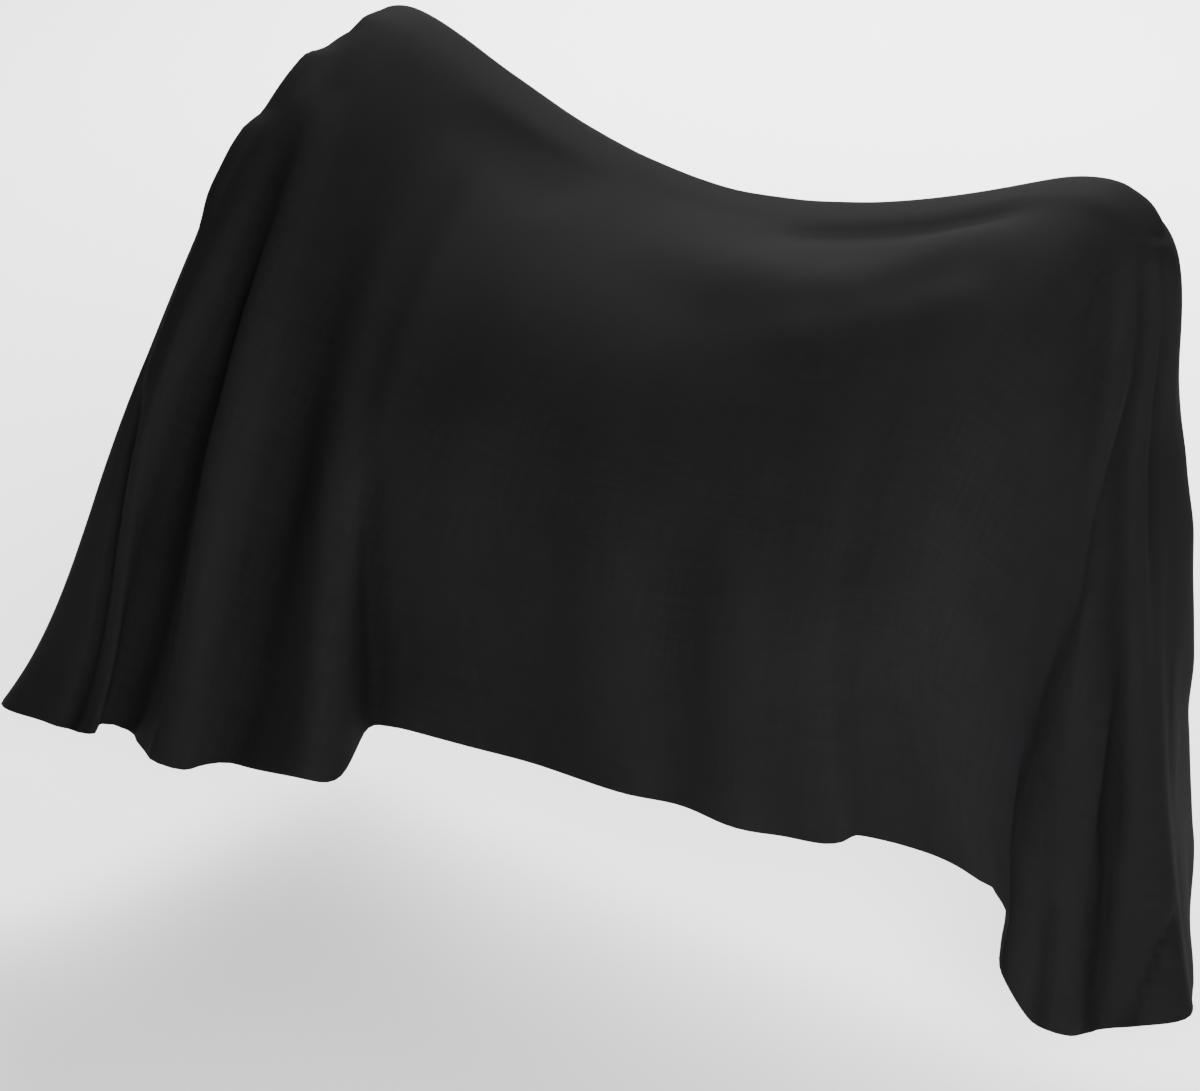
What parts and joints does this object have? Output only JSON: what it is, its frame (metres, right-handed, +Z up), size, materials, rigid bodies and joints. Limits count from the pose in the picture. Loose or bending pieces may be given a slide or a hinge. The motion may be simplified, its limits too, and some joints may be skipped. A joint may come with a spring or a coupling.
{
  "type": "instrument dust cover",
  "caption": "Loose black cloth cover hanging in folds from two raised peaks with a sagging crest, open at the bottom, with a long drooping corner at each end.",
  "frame": {"origin": "under the cloth at the middle of the top, where it rests on what it covers", "axes": "+X along the cover from its left to its right end as seen from the front, -Y out of the front, +Z up"},
  "size_m": [1.4461, 0.7214, 0.827],
  "materials": {
    "cloth": "matte woven black cloth with a faint sheen"
  },
  "bodies": {
    "root": {"cover_cloth": "cloth"}
  },
  "joints": []
}
